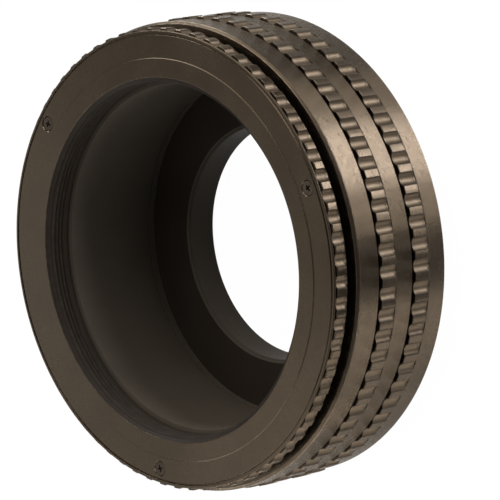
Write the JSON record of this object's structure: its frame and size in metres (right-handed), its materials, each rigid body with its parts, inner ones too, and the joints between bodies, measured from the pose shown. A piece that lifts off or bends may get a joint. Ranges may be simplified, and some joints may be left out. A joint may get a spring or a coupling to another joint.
{
  "type": "focusing helicoid adapter",
  "caption": "Short black focusing tube: turning the knurled ring slides the front thread ring out on a coarse thread; fine female thread in front, male thread behind.",
  "frame": {"origin": "centre of the end of the rear thread tube, on the optical axis", "axes": "+Z along the optical axis towards the lens; +X through the first screw of the front ring"},
  "size_m": [0.0768, 0.0768, 0.0291],
  "materials": {
    "black_anodised": "satin black anodised, turned",
    "black_steel": "blackened",
    "steel": "plain",
    "brass": "milled"
  },
  "bodies": {
    "base": {"base_barrel": "black_anodised", "rear_mount": "black_anodised", "stop_pin": "steel", "rear_screw_1": "black_steel", "rear_screw_2": "black_steel", "rear_screw_3": "black_steel", "guide_key_1": "brass", "guide_key_2": "brass", "guide_key_3": "brass", "key_screw_1": "steel", "key_screw_2": "steel", "key_screw_3": "steel", "key_screw_4": "steel", "key_screw_5": "steel", "key_screw_6": "steel"},
    "ring": {"focusing_ring": "black_anodised"},
    "front": {"front_ring": "black_anodised", "front_barrel": "black_anodised", "front_screw_1": "black_steel", "front_screw_2": "black_steel", "front_screw_3": "black_steel"}
  },
  "joints": [
    {"name": "ring_turn", "type": "hinge", "parent": "base", "child": "ring", "pos_m": [0, 0, 0], "axis": [0, 0, -1], "range_deg": [0, 270]},
    {"name": "front_slide", "type": "slide", "parent": "base", "child": "front", "axis": [0, 0, 1], "range_m": [0, 0.012]}
  ],
  "couplings": [
    {"joint": "front_slide", "follows": "ring_turn", "m_per_rad": 0.0025465}
  ]
}
